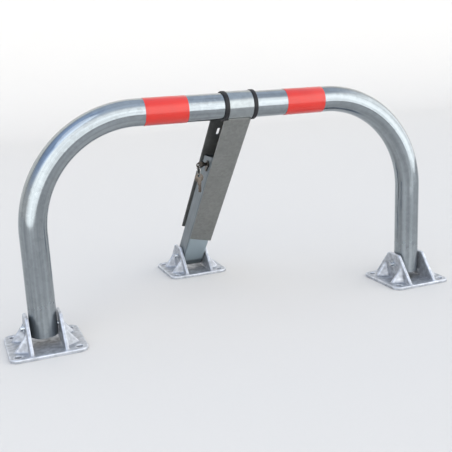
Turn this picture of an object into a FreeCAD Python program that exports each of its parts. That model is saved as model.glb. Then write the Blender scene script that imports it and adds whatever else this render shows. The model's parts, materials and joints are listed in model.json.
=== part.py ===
"""Folding parking barrier, in millimetres.

A bent tube arch is hinged on two cast feet and held upright by a telescopic strut to a third foot.
The strut's channel turns on the top of the arch, its inner tube turns on the rear foot, and a key
moves a bolt between them. X runs along the arch, +Y points to the rear foot and +Z up. The origin
is on the ground, midway between the front feet and the rear foot.
"""
import FreeCAD
import Part
import math
import os

Vector = FreeCAD.Vector
X_AXIS = Vector(1, 0, 0)
Y_AXIS = Vector(0, 1, 0)
Z_AXIS = Vector(0, 0, 1)

# Arch
TUBE_DIAMETER = 60.3
TUBE_WALL = 2.5
ARCH_WIDTH = 950.0  # between the centrelines of the legs
ARCH_HEIGHT = 490.0  # ground to the centreline of the top run
BEND_RADIUS = 240.0
LEG_TAIL = 20.0  # leg below its pivot
BAND_WIDTH = 98.0  # reflective tape
BAND_INSET = 16.0  # end of a bend to its band
BAND_THICKNESS = 0.4
STOP_RING_WIDTH = 10.0
STOP_RING_HEIGHT = 4.0
STOP_RING_ROUND = 2.0

# Cast feet
FOOT_SPACING = 380.0  # front pivots to rear pivot
PIVOT_HEIGHT = 46.0
PLATE_WIDTH = 166.0
PLATE_DEPTH = 158.0
PLATE_THICKNESS = 8.0
PLATE_CORNER = 20.0
EAR_THICKNESS = 8.0
EAR_HEIGHT = 75.0  # above the ground
EAR_TOP_WIDTH = 46.0
EAR_INSET = 2.0  # plate's front and rear edges to an ear
EAR_ROUND = 10.0
RIB_RIDGE = 6.0  # thickness along a rib's sloping top
RIB_BASE = 32.0  # thickness where a rib meets both ear and plate
RIB_SPACING = 68.0
RIB_REACH = 30.0  # along the plate
RIB_HEIGHT = 38.0  # above the plate
CAST_EDGE = 1.5
ANCHOR_HOLE = 14.0
ANCHOR_SPACING_X = 128.0
ANCHOR_SPACING_Y = 120.0

# Hinge pins, their washers and split pins
PIN_DIAMETER = 10.0
PIN_HEAD_DIAMETER = 16.0
PIN_HEAD_HEIGHT = 3.5
PIN_TAIL = 8.0  # beyond the washer
WASHER_DIAMETER = 18.0
WASHER_THICKNESS = 1.6
SPLIT_PIN_DIAMETER = 3.2
SPLIT_PIN_LENGTH = 20.0
SPLIT_PIN_EYE = 6.0  # middle diameter of the eye
SPLIT_PIN_LEG = 7.0
SPLIT_PIN_SPREAD = 50.0  # degrees that each leg is bent

# Strut channel and its collar
SHEET = 2.5
CHANNEL_DEPTH = 67.0
CHANNEL_BEND = 7.0  # outside radius of the folds
CHANNEL_MARGIN = 15.5  # lower strike hole to the shortest corner of the channel's end
CHANNEL_SLANT = 26.0  # the rear flange is this much longer
CHANNEL_SKEW = 24.0  # the web is this much longer than the open side
CHANNEL_DROP = 13.5  # collar centre down to the head of the flanges
FLANGE_OVERHANG = 3.5  # flanges past the inner tube's left wall
COLLAR_WALL = 2.5
COLLAR_INSET = 9.0  # channel's left edge to the collar's left end
DRAIN_WIDTH = 7.0
DRAIN_LENGTH = 22.0
DRAIN_DROP = 113.0  # below the collar centre
DRAIN_OFFSET = -7.0  # from the middle of the channel

# Strut inner tube
INNER_WIDTH = 62.0
INNER_DEPTH = 50.0
INNER_WALL = 2.5
INNER_CORNER = 6.0
INNER_LENGTH = 418.0  # pivot to the middle of the level top
INNER_TAIL = 20.0  # tube below its pivot
INNER_SWEEP = 30.0  # radius of the rounded lower end

# Lock in the inner tube
LOCK_DROP = 18.0  # plug below the middle of the tube's top
LOCK_OFFSET = 8.0  # plug towards the front
CYLINDER_DIAMETER = 17.0
CYLINDER_HEIGHT = 33.0
CYLINDER_FIN = 10.0  # width of its narrow part
CYLINDER_LENGTH = 24.5
CYLINDER_PROUD = 3.0  # beyond the tube's wall
PLUG_DIAMETER = 13.0
PLUG_PROUD = 0.5
CAM_THICKNESS = 6.0
CAM_HUB_DIAMETER = 14.0
CAM_RADIUS = 18.0  # plug axis to the cam's tip
CAM_TIP_DIAMETER = 7.0
CAM_ARM_WIDTH = 3.8
CAM_REST_ANGLE = 23.0  # the key turns the cam from this side of the middle to the other
BOLT_SIZE = 14.0
BOLT_LENGTH = 46.0
BOLT_DROP = 20.5  # bolt axis below the plug
GUIDE_WALL = 2.8
SCREW_DIAMETER = 5.0
SCREW_HEAD_DIAMETER = 10.0
SCREW_BITE = 7.0  # thread in the cylinder
SCREW_DROP = 17.0  # below the plug

# Keys and ring
KEY_THICKNESS = 2.4
KEY_BOW_DIAMETER = 22.0
KEY_HOLE = 7.5
KEY_HOLE_OFFSET = 5.5  # from the middle of the bow
KEY_NECK_LENGTH = 5.0
KEY_NECK_WIDTH = 10.0
KEY_BLADE_WIDTH = 8.0
KEY_BLADE_LENGTH = 20.0
RING_RADIUS = 12.0
RING_WIRE = 1.8

# Clearances
RUNNING_CLEARANCE = 0.1  # radial, between a pin or tube and what turns on it
SEAT_CLEARANCE = 0.05  # radial, between a pin, band or ring and what holds it
EAR_CLEARANCE = 2.0  # each side of a tube between the ears
RING_CLEARANCE = 0.3  # stop ring to collar, key to its ring
SLIDE_CLEARANCE = 0.3  # between the inner tube and the channel's web
FIT_CLEARANCE = 0.2  # round the lock's pieces
NOTCH_CLEARANCE = 0.6  # each side of the cam's tip in the bolt
STRIKE_CLEARANCE = 0.8  # round the bolt in the channel
RELIEF_CLEARANCE = 0.5  # stop ring to the flanges

# Places that follow from the sizes
TUBE_RADIUS = TUBE_DIAMETER / 2
PIN_RADIUS = PIN_DIAMETER / 2
ARCH_Y = -FOOT_SPACING / 2
REAR_Y = FOOT_SPACING / 2
EAR_INNER = TUBE_RADIUS + EAR_CLEARANCE
EAR_OUTER = EAR_INNER + EAR_THICKNESS
BAND_MIDDLE = ARCH_WIDTH / 2 - BEND_RADIUS - BAND_INSET - BAND_WIDTH / 2
STOP_RING_RADIUS = TUBE_RADIUS + STOP_RING_HEIGHT
RISE = ARCH_HEIGHT - PIVOT_HEIGHT
STRUT_LEAN = math.degrees(math.atan2(FOOT_SPACING, RISE))
STRUT_LENGTH = math.hypot(FOOT_SPACING, RISE)  # rear pivot to collar centre, upright
STRUT_EXTENSION = FOOT_SPACING + RISE - STRUT_LENGTH  # how far it telescopes to fold flat
COLLAR_CENTRE = Vector(0, ARCH_Y, ARCH_HEIGHT)
REAR_PIVOT = Vector(0, REAR_Y, PIVOT_HEIGHT)
COLLAR_RADIUS = TUBE_RADIUS + RUNNING_CLEARANCE + COLLAR_WALL
CHANNEL_LEFT = -INNER_WIDTH / 2 - FLANGE_OVERHANG
CHANNEL_RIGHT = INNER_WIDTH / 2 + SLIDE_CLEARANCE + SHEET
COLLAR_LEFT = CHANNEL_LEFT + COLLAR_INSET
PLUG_Y = -LOCK_OFFSET
PLUG_Z = INNER_LENGTH - LOCK_DROP
CYLINDER_FACE = -INNER_WIDTH / 2 - CYLINDER_PROUD
CAM_FACE = CYLINDER_FACE + CYLINDER_LENGTH + PLUG_PROUD
BOLT_Z = PLUG_Z - BOLT_DROP
CHANNEL_LENGTH = STRUT_LENGTH + STRUT_EXTENSION - BOLT_Z + CHANNEL_MARGIN  # to the shortest corner
BOLT_TRAVEL = 2 * CAM_RADIUS * math.sin(math.radians(CAM_REST_ANGLE))
BOW_X = CYLINDER_FACE - PLUG_PROUD - KEY_NECK_LENGTH - KEY_BOW_DIAMETER / 2
KEY_HOLE_X = BOW_X - KEY_HOLE_OFFSET


def box(x_range, y_range, z_range):
    """A block between two values on each axis."""
    sides = [high - low for low, high in (x_range, y_range, z_range)]
    return Part.makeBox(*sides, Vector(x_range[0], y_range[0], z_range[0]))


def rod(radius, start, axis, length):
    """A round bar from a point along an axis."""
    return Part.makeCylinder(radius, length, start, axis)


def ring(inner, outer, start, axis, length):
    """A round sleeve from a point along an axis."""
    return rod(outer, start, axis, length).cut(rod(inner, start, axis, length))


def prism(points, direction):
    """A flat outline pushed along a direction."""
    outline = Part.makePolygon(points + points[:1])
    return Part.Face(outline).extrude(direction)


def fillet(shape, radius, chosen):
    """Round the edges that a test on the edge picks out."""
    return shape.makeFillet(radius, [edge for edge in shape.Edges if chosen(edge)])


def along(edge, axis):
    """True for a straight edge parallel to an axis."""
    start, end = edge.Vertexes[0].Point, edge.Vertexes[-1].Point
    return edge.Curve.TypeId == "Part::GeomLine" and (end - start).cross(axis).Length < 1e-6


def moved(shape, offset):
    """A copy of a piece at another place."""
    copy = shape.copy()
    copy.translate(offset)
    return copy


def on_strut(shape, pivot):
    """A piece drawn upright at the origin, leant along the strut from its pivot."""
    copy = shape.copy()
    copy.rotate(Vector(), X_AXIS, STRUT_LEAN)
    copy.translate(pivot)
    return copy


def foot_centres():
    """The ground point under each hinge, by name."""
    return {
        "front_foot_left": Vector(-ARCH_WIDTH / 2, ARCH_Y, 0),
        "front_foot_right": Vector(ARCH_WIDTH / 2, ARCH_Y, 0),
        "rear_foot": Vector(0, REAR_Y, 0),
    }


def foot_ear():
    """One ear of a foot, on its +X side, with rounded shoulders and softened cast edges."""
    base, top = PLATE_DEPTH / 2 - EAR_INSET, EAR_TOP_WIDTH / 2
    outline = [
        Vector(EAR_INNER, -base, PLATE_THICKNESS),
        Vector(EAR_INNER, -top, EAR_HEIGHT),
        Vector(EAR_INNER, top, EAR_HEIGHT),
        Vector(EAR_INNER, base, PLATE_THICKNESS),
    ]
    ear = prism(outline, Vector(EAR_THICKNESS, 0, 0))
    ear = fillet(ear, EAR_ROUND, lambda edge: along(edge, X_AXIS) and edge.CenterOfMass.z > EAR_HEIGHT - 1e-6)
    return fillet(ear, CAST_EDGE, lambda edge: not along(edge, X_AXIS) and not along(edge, Y_AXIS)
                  or edge.CenterOfMass.z > EAR_HEIGHT - 1e-6)


def foot_rib(y):
    """A triangular stiffener between an ear and the plate, on the +X side, drafted for casting."""
    toe, top = EAR_OUTER + RIB_REACH, PLATE_THICKNESS + RIB_HEIGHT

    def pair(x, z, thickness):
        return [Vector(x, y + side * thickness / 2, z) for side in (-1, 1)]

    low = pair(EAR_OUTER, PLATE_THICKNESS, RIB_BASE)
    high = pair(EAR_OUTER, top, RIB_RIDGE)
    far = pair(toe, PLATE_THICKNESS, RIB_RIDGE)
    outlines = [low + high[::-1], low + far[::-1], high + far[::-1],
                [low[0], high[0], far[0]], [low[1], high[1], far[1]]]
    faces = [Part.Face(Part.makePolygon(points + points[:1])) for points in outlines]
    rib = Part.Solid(Part.Shell(faces))
    return fillet(rib, CAST_EDGE, lambda edge: edge.CenterOfMass.x > EAR_OUTER + 1e-6
                  and edge.CenterOfMass.z > PLATE_THICKNESS + 1e-6)


def foot():
    """A cast foot at the origin: plate, two ribbed ears, anchor holes and the pin's hole."""
    half_width, half_depth = PLATE_WIDTH / 2, PLATE_DEPTH / 2
    plate = box((-half_width, half_width), (-half_depth, half_depth), (0, PLATE_THICKNESS))
    plate = fillet(plate, PLATE_CORNER, lambda edge: along(edge, Z_AXIS))
    plate = fillet(plate, CAST_EDGE, lambda edge: edge.BoundBox.ZMin > PLATE_THICKNESS - 1e-6)
    right = foot_ear().fuse([foot_rib(-RIB_SPACING / 2), foot_rib(RIB_SPACING / 2)])
    left = right.mirror(Vector(), X_AXIS)
    casting = plate.fuse([left, right])
    cuts = [rod(PIN_RADIUS + SEAT_CLEARANCE, Vector(-EAR_OUTER, 0, PIVOT_HEIGHT), X_AXIS, 2 * EAR_OUTER)]
    for x in (-ANCHOR_SPACING_X / 2, ANCHOR_SPACING_X / 2):
        for y in (-ANCHOR_SPACING_Y / 2, ANCHOR_SPACING_Y / 2):
            cuts.append(rod(ANCHOR_HOLE / 2, Vector(x, y, 0), Z_AXIS, PLATE_THICKNESS))
    return casting.cut(cuts).removeSplitter()


def hinge_pin():
    """A headed pin across a foot, with a cross hole in its tail."""
    length = 2 * EAR_OUTER + WASHER_THICKNESS + PIN_TAIL
    shank = rod(PIN_RADIUS, Vector(EAR_OUTER - length, 0, PIVOT_HEIGHT), X_AXIS, length)
    head = rod(PIN_HEAD_DIAMETER / 2, Vector(EAR_OUTER, 0, PIVOT_HEIGHT), X_AXIS, PIN_HEAD_HEIGHT)
    head = fillet(head, CAST_EDGE, lambda edge: edge.BoundBox.XMin > EAR_OUTER + PIN_HEAD_HEIGHT - 1e-6)
    cross = rod(SPLIT_PIN_DIAMETER / 2 + SEAT_CLEARANCE, Vector(split_pin_x(), -PIN_RADIUS, PIVOT_HEIGHT),
                Y_AXIS, PIN_DIAMETER)
    return shank.fuse(head).removeSplitter().cut(cross)


def pin_washer():
    """The washer between an ear and the split pin."""
    start = Vector(-EAR_OUTER - WASHER_THICKNESS, 0, PIVOT_HEIGHT)
    return ring(PIN_RADIUS + SEAT_CLEARANCE, WASHER_DIAMETER / 2, start, X_AXIS, WASHER_THICKNESS)


def split_pin_x():
    """Where the split pin crosses the hinge pin, just outside the washer."""
    return -EAR_OUTER - WASHER_THICKNESS - RUNNING_CLEARANCE - SPLIT_PIN_DIAMETER / 2


def split_pin():
    """A split pin through a hinge pin: eye to the front, its two legs spread at the rear."""
    half = SPLIT_PIN_LENGTH / 2
    wire = SPLIT_PIN_DIAMETER / 4
    centre = Vector(split_pin_x(), 0, PIVOT_HEIGHT)
    shank = rod(SPLIT_PIN_DIAMETER / 2, centre - Y_AXIS * half, Y_AXIS, SPLIT_PIN_LENGTH)
    eye = Part.makeTorus(SPLIT_PIN_EYE / 2, wire, centre - Y_AXIS * (half + SPLIT_PIN_EYE / 2), X_AXIS)
    legs = []
    for side in (-1, 1):
        angle = math.radians(side * SPLIT_PIN_SPREAD)
        start = centre + Y_AXIS * (half - wire)
        direction = Vector(0, math.cos(angle), math.sin(angle))
        legs.append(rod(wire, start, direction, SPLIT_PIN_LEG))
    return shank.fuse([eye] + legs)


def arch_path():
    """The centreline of the arch: two legs, two bends and the top run."""
    half, low, high = ARCH_WIDTH / 2, PIVOT_HEIGHT - LEG_TAIL, ARCH_HEIGHT
    inset = BEND_RADIUS * (1 - math.cos(math.radians(45)))

    def point(x, z):
        return Vector(x, ARCH_Y, z)

    left = [point(-half, low), point(-half, high - BEND_RADIUS), point(-half + BEND_RADIUS, high)]
    right = [point(half - BEND_RADIUS, high), point(half, high - BEND_RADIUS), point(half, low)]
    edges = [
        Part.LineSegment(left[0], left[1]),
        Part.Arc(left[1], point(-half + inset, high - inset), left[2]),
        Part.LineSegment(left[2], right[0]),
        Part.Arc(right[0], point(half - inset, high - inset), right[1]),
        Part.LineSegment(right[1], right[2]),
    ]
    return Part.Wire([edge.toShape() for edge in edges])


def arch_tube():
    """The bent tube, with a cross hole for each hinge pin near its ends."""
    path = arch_path()
    start = Vector(-ARCH_WIDTH / 2, ARCH_Y, PIVOT_HEIGHT - LEG_TAIL)

    def swept(radius):
        return path.makePipe(Part.Face(Part.Wire(Part.makeCircle(radius, start, Z_AXIS))))

    reach = ARCH_WIDTH / 2 + TUBE_DIAMETER
    holes = rod(PIN_RADIUS + RUNNING_CLEARANCE, Vector(-reach, ARCH_Y, PIVOT_HEIGHT), X_AXIS, 2 * reach)
    return swept(TUBE_RADIUS).cut([swept(TUBE_RADIUS - TUBE_WALL), holes])


def reflective_band(side):
    """Tape round the top run, on one side of the middle."""
    start = Vector(side * BAND_MIDDLE - BAND_WIDTH / 2, ARCH_Y, ARCH_HEIGHT)
    inner = TUBE_RADIUS + SEAT_CLEARANCE
    return ring(inner, inner + BAND_THICKNESS, start, X_AXIS, BAND_WIDTH)


def stop_ring(start_x):
    """A rubber ring on the top run that keeps the collar in its place."""
    start = Vector(start_x, ARCH_Y, ARCH_HEIGHT)
    blank = rod(STOP_RING_RADIUS, start, X_AXIS, STOP_RING_WIDTH)
    blank = fillet(blank, STOP_RING_ROUND, lambda edge: not along(edge, X_AXIS))
    return blank.cut(rod(TUBE_RADIUS + SEAT_CLEARANCE, start, X_AXIS, STOP_RING_WIDTH))


def collar_sleeve():
    """The sleeve at the head of the strut, which turns on the arch."""
    start = COLLAR_CENTRE + X_AXIS * COLLAR_LEFT
    return ring(TUBE_RADIUS + RUNNING_CLEARANCE, COLLAR_RADIUS, start, X_AXIS, CHANNEL_RIGHT - COLLAR_LEFT)


def drain_slot():
    """The upright slot through the rear flange."""
    rear, half = CHANNEL_DEPTH / 2 - SHEET, DRAIN_WIDTH / 2
    reach = DRAIN_LENGTH / 2 - half
    ends = [Vector(DRAIN_OFFSET, rear, -DRAIN_DROP - reach), Vector(DRAIN_OFFSET, rear, -DRAIN_DROP + reach)]
    middle = box((DRAIN_OFFSET - half, DRAIN_OFFSET + half), (rear, rear + SHEET), (ends[0].z, ends[1].z))
    return middle.fuse([rod(half, end, Y_AXIS, SHEET) for end in ends]).removeSplitter()


def strut_channel():
    """The folded channel, open to the left: its web is coped to the collar and its end is cut aslant."""
    half = CHANNEL_DEPTH / 2
    shortest, longest = -CHANNEL_LENGTH, -CHANNEL_LENGTH - CHANNEL_SLANT - CHANNEL_SKEW

    def folded(left, right, depth, bend):
        blank = box((left, right), (-depth, depth), (longest, -CHANNEL_DROP))
        return fillet(blank, bend, lambda edge: along(edge, Z_AXIS) and edge.CenterOfMass.x > 0)

    inside = folded(2 * CHANNEL_LEFT, CHANNEL_RIGHT - SHEET, half - SHEET, CHANNEL_BEND - SHEET)
    channel = folded(CHANNEL_LEFT, CHANNEL_RIGHT, half, CHANNEL_BEND).cut(inside)
    end = [
        Vector(CHANNEL_LEFT, -half, shortest),
        Vector(CHANNEL_LEFT, half, shortest - CHANNEL_SLANT),
        Vector(CHANNEL_RIGHT, half, longest),
        Vector(CHANNEL_RIGHT, -half, shortest - CHANNEL_SKEW),
    ]
    cuts = [
        prism(end, Vector(0, 0, longest - shortest)),
        rod(COLLAR_RADIUS, Vector(COLLAR_LEFT, 0, 0), X_AXIS, CHANNEL_RIGHT - COLLAR_LEFT),
        rod(STOP_RING_RADIUS + RELIEF_CLEARANCE, Vector(CHANNEL_LEFT, 0, 0), X_AXIS, COLLAR_INSET),
        drain_slot(),
    ]
    strike = BOLT_SIZE / 2 + STRIKE_CLEARANCE
    for extension in (0, STRUT_EXTENSION):
        z = BOLT_Z - STRUT_LENGTH - extension
        cuts.append(box((-strike, strike), (half - SHEET, half), (z - strike, z + strike)))
    return channel.cut(cuts)


def inner_tube():
    """The rectangular inner tube: level top, rounded tail, pin holes and the lock's cut-outs."""
    half_width, half_depth = INNER_WIDTH / 2, INNER_DEPTH / 2
    slope = half_depth * math.tan(math.radians(STRUT_LEAN))
    high = INNER_LENGTH + slope

    def section(inset):
        blank = box((inset - half_width, half_width - inset), (inset - half_depth, half_depth - inset),
                    (-INNER_TAIL, high))
        return fillet(blank, INNER_CORNER - inset, lambda edge: along(edge, Z_AXIS))

    tube = section(0).cut(section(INNER_WALL))
    tail = rod(INNER_SWEEP, Vector(-half_width, 0, 0), X_AXIS, INNER_WIDTH)
    keep = tail.fuse(box((-half_width, half_width), (-half_depth, half_depth), (0, high)))
    top = [Vector(-half_width, -half_depth, high), Vector(-half_width, half_depth, high),
           Vector(-half_width, half_depth, INNER_LENGTH - slope)]
    bolt = BOLT_SIZE / 2 + FIT_CLEARANCE
    cuts = [
        prism(top, X_AXIS * INNER_WIDTH),
        rod(PIN_RADIUS + RUNNING_CLEARANCE, Vector(-half_width, 0, 0), X_AXIS, INNER_WIDTH),
        lock_profile(FIT_CLEARANCE, -half_width, INNER_WALL),
        box((-bolt, bolt), (half_depth - INNER_WALL, half_depth), (BOLT_Z - bolt, BOLT_Z + bolt)),
        screw_form(SEAT_CLEARANCE),
    ]
    return tube.common(keep).cut(cuts)


def lock_profile(clearance, start_x, length):
    """The pear-shaped section of the lock cylinder, round at the plug and narrow below it."""
    fin = CYLINDER_FIN / 2 + clearance
    drop = CYLINDER_HEIGHT - CYLINDER_DIAMETER / 2 - CYLINDER_FIN / 2
    centre = Vector(start_x, PLUG_Y, PLUG_Z)
    head = rod(CYLINDER_DIAMETER / 2 + clearance, centre, X_AXIS, length)
    web = box((start_x, start_x + length), (PLUG_Y - fin, PLUG_Y + fin), (PLUG_Z - drop, PLUG_Z))
    toe = rod(fin, centre - Z_AXIS * drop, X_AXIS, length)
    return head.fuse([web, toe]).removeSplitter()


def screw_form(clearance):
    """The countersunk screw that enters the lock cylinder through the tube's front wall."""
    front = -INNER_DEPTH / 2
    x = CYLINDER_FACE + CYLINDER_LENGTH / 2
    start = Vector(x, front, PLUG_Z - SCREW_DROP)
    radius = SCREW_DIAMETER / 2 + clearance
    head_radius = SCREW_HEAD_DIAMETER / 2 + clearance
    length = PLUG_Y - CYLINDER_FIN / 2 + SCREW_BITE - front
    head = Part.makeCone(head_radius, radius, INNER_WALL, start, Y_AXIS)
    return rod(radius, start, Y_AXIS, length).fuse(head).removeSplitter()


def lock_cylinder():
    """The lock's fixed body, bored for the plug and tapped for its screw."""
    body = lock_profile(0, CYLINDER_FACE, CYLINDER_LENGTH)
    bore = rod(PLUG_DIAMETER / 2 + RUNNING_CLEARANCE, Vector(CYLINDER_FACE, PLUG_Y, PLUG_Z), X_AXIS,
               CYLINDER_LENGTH)
    return body.cut([bore, screw_form(SEAT_CLEARANCE)])


def lock_plug():
    """The turning core of the lock, slotted for the key."""
    start = Vector(CYLINDER_FACE - PLUG_PROUD, PLUG_Y, PLUG_Z)
    core = rod(PLUG_DIAMETER / 2, start, X_AXIS, CAM_FACE - start.x)
    slot_width = KEY_THICKNESS / 2 + FIT_CLEARANCE
    slot_height = KEY_BLADE_WIDTH / 2 + FIT_CLEARANCE
    slot = box((start.x, start.x + KEY_BLADE_LENGTH + FIT_CLEARANCE),
               (PLUG_Y - slot_width, PLUG_Y + slot_width), (PLUG_Z - slot_height, PLUG_Z + slot_height))
    return core.cut(slot)


def lock_cam():
    """The finger on the end of the plug, swung to the front while the bolt is drawn."""
    centre = Vector(CAM_FACE, PLUG_Y, PLUG_Z)
    hub = rod(CAM_HUB_DIAMETER / 2, centre, X_AXIS, CAM_THICKNESS)
    half = CAM_ARM_WIDTH / 2
    arm = box((CAM_FACE, CAM_FACE + CAM_THICKNESS), (PLUG_Y - half, PLUG_Y + half),
              (PLUG_Z - CAM_RADIUS, PLUG_Z))
    tip = rod(CAM_TIP_DIAMETER / 2, centre - Z_AXIS * CAM_RADIUS, X_AXIS, CAM_THICKNESS)
    cam = hub.fuse([arm, tip]).removeSplitter()
    cam.rotate(centre, X_AXIS, -CAM_REST_ANGLE)
    return cam


def lock_bolt():
    """The square bolt, drawn into the tube, with a notch for the cam's tip."""
    half = BOLT_SIZE / 2
    nose = INNER_DEPTH / 2 - FIT_CLEARANCE
    bolt = box((-half, half), (nose - BOLT_LENGTH, nose), (BOLT_Z - half, BOLT_Z + half))
    bolt = fillet(bolt, CAST_EDGE, lambda edge: not along(edge, Y_AXIS) and edge.CenterOfMass.y > nose - 1e-6)
    tip_y = PLUG_Y - BOLT_TRAVEL / 2
    notch = CAM_TIP_DIAMETER / 2 + NOTCH_CLEARANCE
    floor = PLUG_Z - CAM_RADIUS - notch
    return bolt.cut(box((-half, CAM_FACE + CAM_THICKNESS + NOTCH_CLEARANCE), (tip_y - notch, tip_y + notch),
                        (floor, BOLT_Z + half)))


def bolt_guide():
    """The square guide welded inside the tube's rear wall."""
    start = PLUG_Y + BOLT_TRAVEL / 2 + CAM_TIP_DIAMETER / 2 + NOTCH_CLEARANCE
    passage = BOLT_SIZE / 2 + FIT_CLEARANCE
    outside = passage + GUIDE_WALL
    length = (start, INNER_DEPTH / 2 - INNER_WALL)
    block = box((-outside, outside), length, (BOLT_Z - outside, BOLT_Z + outside))
    return block.cut(box((-passage, passage), length, (BOLT_Z - passage, BOLT_Z + passage)))


def key_form():
    """A flat key along X at the origin: the ring hole at -X of the bow, the blade to +X."""
    half = KEY_THICKNESS / 2
    bow_radius = KEY_BOW_DIAMETER / 2
    low = Vector(0, -half, 0)
    bow = rod(bow_radius, low, Y_AXIS, KEY_THICKNESS)
    neck_end = bow_radius + KEY_NECK_LENGTH
    neck = box((0, neck_end), (-half, half), (-KEY_NECK_WIDTH / 2, KEY_NECK_WIDTH / 2))
    blade = box((0, neck_end + KEY_BLADE_LENGTH), (-half, half), (-KEY_BLADE_WIDTH / 2, KEY_BLADE_WIDTH / 2))
    hole = rod(KEY_HOLE / 2, low - X_AXIS * KEY_HOLE_OFFSET, Y_AXIS, KEY_THICKNESS)
    return bow.fuse([neck, blade]).removeSplitter().cut(hole)


def key_hole():
    """The middle of the ring hole of the key that is in the lock."""
    return on_strut(Part.Vertex(KEY_HOLE_X, PLUG_Y, PLUG_Z), REAR_PIVOT).Point


def key_ring():
    """The wire ring that hangs from the key in the lock."""
    return Part.makeTorus(RING_RADIUS, RING_WIRE / 2, key_hole() - Z_AXIS * RING_RADIUS, X_AXIS)


def spare_key():
    """The second key, hanging blade down from the ring."""
    key = key_form()
    key.translate(X_AXIS * KEY_HOLE_OFFSET)
    key.rotate(Vector(), Y_AXIS, 90)
    sag = KEY_HOLE / 2 - RING_WIRE / 2 - RING_CLEARANCE
    return moved(key, key_hole() - Z_AXIS * (2 * RING_RADIUS + sag))


def pieces():
    """Every piece of the barrier in its place, by name."""
    feet = foot_centres()
    casting, pin = foot(), hinge_pin()
    result = {name: moved(casting, centre) for name, centre in feet.items()}
    for name, centre in feet.items():
        result[name.replace("foot", "hinge_pin")] = moved(pin, centre)
    result["pin_washers"] = Part.makeCompound([moved(pin_washer(), centre) for centre in feet.values()])
    result["split_pins"] = Part.makeCompound([moved(split_pin(), centre) for centre in feet.values()])
    result["arch_tube"] = arch_tube()
    for name, side in (("left", -1), ("right", 1)):
        result["reflective_band_" + name] = reflective_band(side)
    result["stop_ring_left"] = stop_ring(COLLAR_LEFT - RING_CLEARANCE - STOP_RING_WIDTH)
    result["stop_ring_right"] = stop_ring(CHANNEL_RIGHT + RING_CLEARANCE)
    result["collar_sleeve"] = collar_sleeve()
    result["strut_channel"] = on_strut(strut_channel(), COLLAR_CENTRE)
    inner = {
        "inner_tube": inner_tube(),
        "lock_cylinder": lock_cylinder(),
        "cylinder_screw": screw_form(0),
        "bolt_guide": bolt_guide(),
        "lock_bolt": lock_bolt(),
        "lock_plug": lock_plug(),
        "lock_cam": lock_cam(),
        "lock_key": moved(key_form(), Vector(BOW_X, PLUG_Y, PLUG_Z)),
    }
    for name, shape in inner.items():
        result[name] = on_strut(shape, REAR_PIVOT)
    result["key_ring"] = key_ring()
    result["spare_key"] = spare_key()
    return result


os.makedirs("parts", exist_ok=True)
for node, solid in pieces().items():
    solid.exportStep("parts/" + node + ".step")
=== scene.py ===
"""Folding parking barrier: smooth pieces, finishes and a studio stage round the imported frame.

Lengths are in metres and every piece is drawn in the frame's own axes: X runs along the arch, +Y points to
the rear foot and +Z up. The strut's own axes have z along the strut and y square to it, towards the rear.
"""
import json
import math

import bmesh
import bpy
from bpy.props import FloatProperty, FloatVectorProperty, IntProperty, PointerProperty
from mathutils import Matrix, Vector


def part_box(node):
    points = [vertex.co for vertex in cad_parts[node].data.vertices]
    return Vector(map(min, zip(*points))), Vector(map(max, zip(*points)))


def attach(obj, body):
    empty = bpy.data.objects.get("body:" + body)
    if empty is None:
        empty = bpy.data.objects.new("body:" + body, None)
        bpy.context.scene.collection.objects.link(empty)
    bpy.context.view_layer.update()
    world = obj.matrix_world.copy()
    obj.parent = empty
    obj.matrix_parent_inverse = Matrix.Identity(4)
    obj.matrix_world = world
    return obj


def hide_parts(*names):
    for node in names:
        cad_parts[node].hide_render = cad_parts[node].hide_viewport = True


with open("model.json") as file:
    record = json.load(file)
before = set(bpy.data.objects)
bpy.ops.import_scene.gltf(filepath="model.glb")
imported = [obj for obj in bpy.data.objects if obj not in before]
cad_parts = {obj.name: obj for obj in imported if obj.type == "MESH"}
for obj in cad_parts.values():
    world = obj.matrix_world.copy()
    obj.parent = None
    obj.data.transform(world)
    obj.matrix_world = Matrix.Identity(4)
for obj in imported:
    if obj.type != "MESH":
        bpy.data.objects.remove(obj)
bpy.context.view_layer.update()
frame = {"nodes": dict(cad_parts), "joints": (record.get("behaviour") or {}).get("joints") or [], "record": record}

bl_info = {
    "name": "Folding Parking Barrier",
    "version": (1, 0, 0),
    "blender": (4, 5, 0),
    "location": "3D View > Sidebar > Barrier",
    "description": "Dresses the packed barrier with smooth pieces, real finishes and a studio stage",
    "category": "Object",
}

MM = 0.001
JOINT_POINTS = {joint["name"]: Vector(joint["pos_m"]) for joint in frame["joints"] if "pos_m" in joint}
COLLAR_CENTRE = JOINT_POINTS["strut_head_turn"]
REAR_PIVOT = JOINT_POINTS["strut_foot_turn"]
PLUG_POINT = JOINT_POINTS["key_turn"]
KEY_HOLE_POINT = JOINT_POINTS["ring_swing"]
ARCH_LOW, ARCH_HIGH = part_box("arch_tube")
COLLAR_LOW, COLLAR_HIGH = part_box("collar_sleeve")
WASHER_LOW, WASHER_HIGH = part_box("pin_washers")
LEAN = math.atan2(REAR_PIVOT.y - COLLAR_CENTRE.y, COLLAR_CENTRE.z - REAR_PIVOT.z)
FEET = ("front_foot_left", "front_foot_right", "rear_foot")
POINT_GAP = 1e-7  # points closer than this are one
CAD_POINT_GAP = 1e-6  # the same on a copy of a CAD node
FLAT_ANGLE = math.radians(0.4)  # facets that meet at less than this make one flat
SHARP_DEGREES = 30  # edges of a CAD node that are sharper than this are rounded
BORE_EXCESS = 10 * MM  # the tube's bore is cut this far past its ends
RUNNING_GAP = 0.1 * MM  # round a turning piece
TAPE_GLUE = 0.02 * MM
TAPE_EDGE = 0.15 * MM
SPLIT_PIN_INSET = 1.7 * MM  # a washer's face to the middle of its split pin
LOCK_EDGE = 0.25 * MM


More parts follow.
